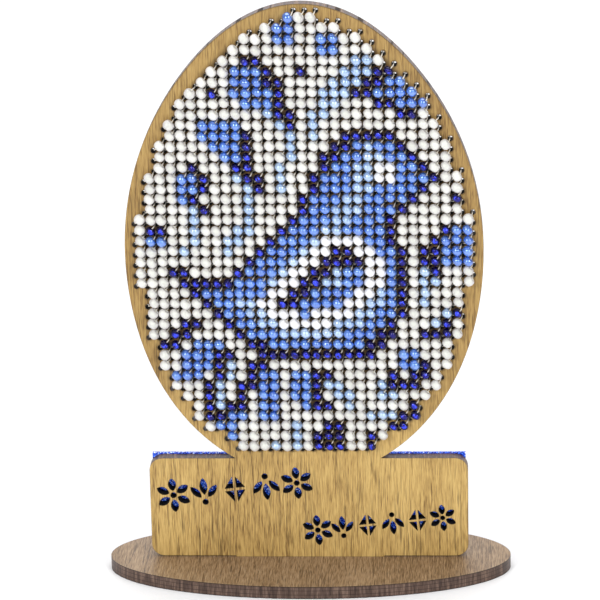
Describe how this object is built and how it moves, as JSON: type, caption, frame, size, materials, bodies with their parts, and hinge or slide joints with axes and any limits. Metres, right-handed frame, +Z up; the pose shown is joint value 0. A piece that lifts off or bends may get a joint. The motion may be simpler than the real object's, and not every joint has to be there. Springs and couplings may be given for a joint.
{
  "type": "beaded decorative egg on stand",
  "caption": "Flat perforated plywood egg with a stencilled plaque, covered in stitched seed beads in blue and white, upright in a slotted oval plywood base.",
  "frame": {"origin": "middle of the underside of the oval base, on the surface the object stands on", "axes": "+Z up along the egg's height, +X along the base's long axis, the beaded front faces -Y"},
  "size_m": [0.0943, 0.04, 0.1367],
  "materials": {
    "plywood": "satin, dark laser-cut edges",
    "base_plywood": "satin, dark laser-cut edges",
    "glitter": "sparkling blue glitter",
    "pearl_white": "pearl glaze",
    "clear_white": "glossy",
    "pale_blue": "lustre glaze",
    "mid_blue": "lustre glaze",
    "cobalt": "silver-lined clear",
    "thread": "waxed sewing thread"
  },
  "bodies": {
    "base": {"stand_base": "base_plywood"},
    "upright": {"egg_panel": "plywood", "glitter_card": "glitter", "beads_white_upper": "pearl_white", "beads_white_middle": "pearl_white", "beads_white_lower": "pearl_white", "beads_ring_white": "clear_white", "beads_pale_blue": "pale_blue", "beads_mid_blue": "mid_blue", "beads_cobalt": "cobalt", "thread_upper": "thread", "thread_middle": "thread", "thread_lower": "thread", "thread_knots": "thread"}
  },
  "joints": [
    {"name": "upright_lift", "type": "slide", "parent": "base", "child": "upright", "axis": [0, 0, 1], "range_m": [0, 0.02]}
  ]
}
